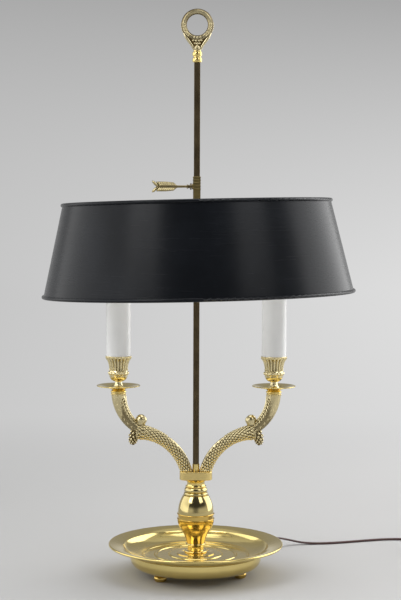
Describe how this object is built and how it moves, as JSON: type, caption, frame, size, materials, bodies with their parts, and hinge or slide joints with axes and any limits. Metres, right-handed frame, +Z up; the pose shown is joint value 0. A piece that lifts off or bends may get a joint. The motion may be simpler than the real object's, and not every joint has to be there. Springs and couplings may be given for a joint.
{
  "type": "bouillotte lamp",
  "caption": "Brass table lamp with a dish base, a turned urn, two curved candle arms, a black metal shade that slides on a square stem, and a ring finial.",
  "frame": {"origin": "where the stem's axis meets the surface that the lamp stands on", "axes": "+Z up along the stem, +X along the arms to the viewer's right, -Y to the front"},
  "size_m": [0.5791, 0.4048, 0.702],
  "materials": {
    "brass": "polished and lacquered",
    "bronze": "darkened, satin",
    "shade_black": "satin black paint",
    "steel": "zinc plated",
    "iron": "as cast",
    "candle_white": "satin white",
    "holder_black": "moulded",
    "contact_brass": "stamped",
    "bulb_glass": "clear",
    "bulb_cap": "rolled",
    "cord_brown": "extruded",
    "switch_brown": "moulded"
  },
  "bodies": {
    "base": {"arm_ferrule_left": "brass", "arm_ferrule_right": "brass", "arm_hub": "brass", "arm_left": "brass", "arm_right": "brass", "base_bowl": "brass", "base_weight": "iron", "bobeche_left": "brass", "bobeche_right": "brass", "bulb_cap_left": "bulb_cap", "bulb_cap_right": "bulb_cap", "bulb_glass_left": "bulb_glass", "bulb_glass_right": "bulb_glass", "candle_cup_left": "brass", "candle_cup_right": "brass", "candle_sleeve_left": "candle_white", "candle_sleeve_right": "candle_white", "centre_pipe": "steel", "cord_coil": "cord_brown", "cord_lead": "cord_brown", "cord_tail": "cord_brown", "finial_ferrule": "brass", "foot_back": "brass", "foot_left": "brass", "foot_nuts": "steel", "foot_right": "brass", "hub_neck": "brass", "lamp_holder_left": "holder_black", "lamp_holder_right": "holder_black", "lamp_nipple_left": "steel", "lamp_nipple_right": "steel", "neck_bead": "brass", "pipe_nut": "steel", "pipe_washer": "steel", "plug_blades": "contact_brass", "plug_body": "switch_brown", "ring_finial": "brass", "screw_shell_left": "contact_brass", "screw_shell_right": "contact_brass", "stem_collar": "brass", "stem_rod": "bronze", "strain_relief": "cord_brown", "switch_base": "switch_brown", "switch_cover": "switch_brown", "tray": "brass", "urn_band": "brass", "urn_base_ring": "brass", "urn_foot": "brass", "urn_lower": "brass", "urn_upper": "brass"},
    "slider": {"shade_slider": "bronze", "slider_nut": "brass", "shade_spider": "shade_black", "shade_shell": "shade_black"},
    "key": {"arrow_key": "brass"},
    "wheel": {"switch_wheel": "switch_brown"}
  },
  "joints": [
    {"name": "shade_slide", "type": "slide", "parent": "base", "child": "slider", "axis": [0, 0, 1], "range_m": [-0.28, 0.135]},
    {"name": "key_turn", "type": "hinge", "parent": "slider", "child": "key", "pos_m": [0, 0, 0.4847], "axis": [-1, 0, 0], "range_deg": [0, 360]},
    {"name": "switch_turn", "type": "hinge", "parent": "base", "child": "wheel", "pos_m": [0.315, 0.139, 0.00755], "axis": [0, 0, 1], "continuous": true}
  ]
}
